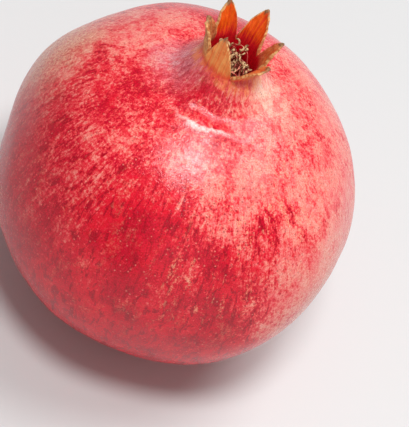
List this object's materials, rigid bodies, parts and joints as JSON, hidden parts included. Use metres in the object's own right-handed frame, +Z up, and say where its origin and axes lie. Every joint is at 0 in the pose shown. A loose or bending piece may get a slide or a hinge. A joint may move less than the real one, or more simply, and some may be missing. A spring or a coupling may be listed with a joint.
{
  "type": "pomegranate",
  "caption": "Whole ripe pomegranate standing on its base, a round leathery red fruit with an open pointed calyx crown and dried stamens, for display or still life.",
  "frame": {"origin": "on the resting surface, under the middle of the fruit's bounding box", "axes": "+Z up along the fruit's axis towards the crown; -Y towards the side that the picture shows"},
  "size_m": [0.0934, 0.0976, 0.1037],
  "materials": {
    "rind": "satin",
    "stamen": "matte",
    "style": "matte",
    "stem": "matte"
  },
  "bodies": {
    "root": {"rind": "rind", "stamen_01": "stamen", "stamen_02": "stamen", "stamen_03": "stamen", "stamen_04": "stamen", "stamen_05": "stamen", "stamen_06": "stamen", "stamen_07": "stamen", "stamen_08": "stamen", "stamen_09": "stamen", "stamen_10": "stamen", "stamen_11": "stamen", "stamen_12": "stamen", "stamen_13": "stamen", "stamen_14": "stamen", "stamen_15": "stamen", "stamen_16": "stamen", "stamen_17": "stamen", "stamen_18": "stamen", "stamen_19": "stamen", "stamen_20": "stamen", "stamen_21": "stamen", "stamen_22": "stamen", "stamen_23": "stamen", "stamen_24": "stamen", "style": "style", "stem_stub": "stem"}
  },
  "joints": []
}
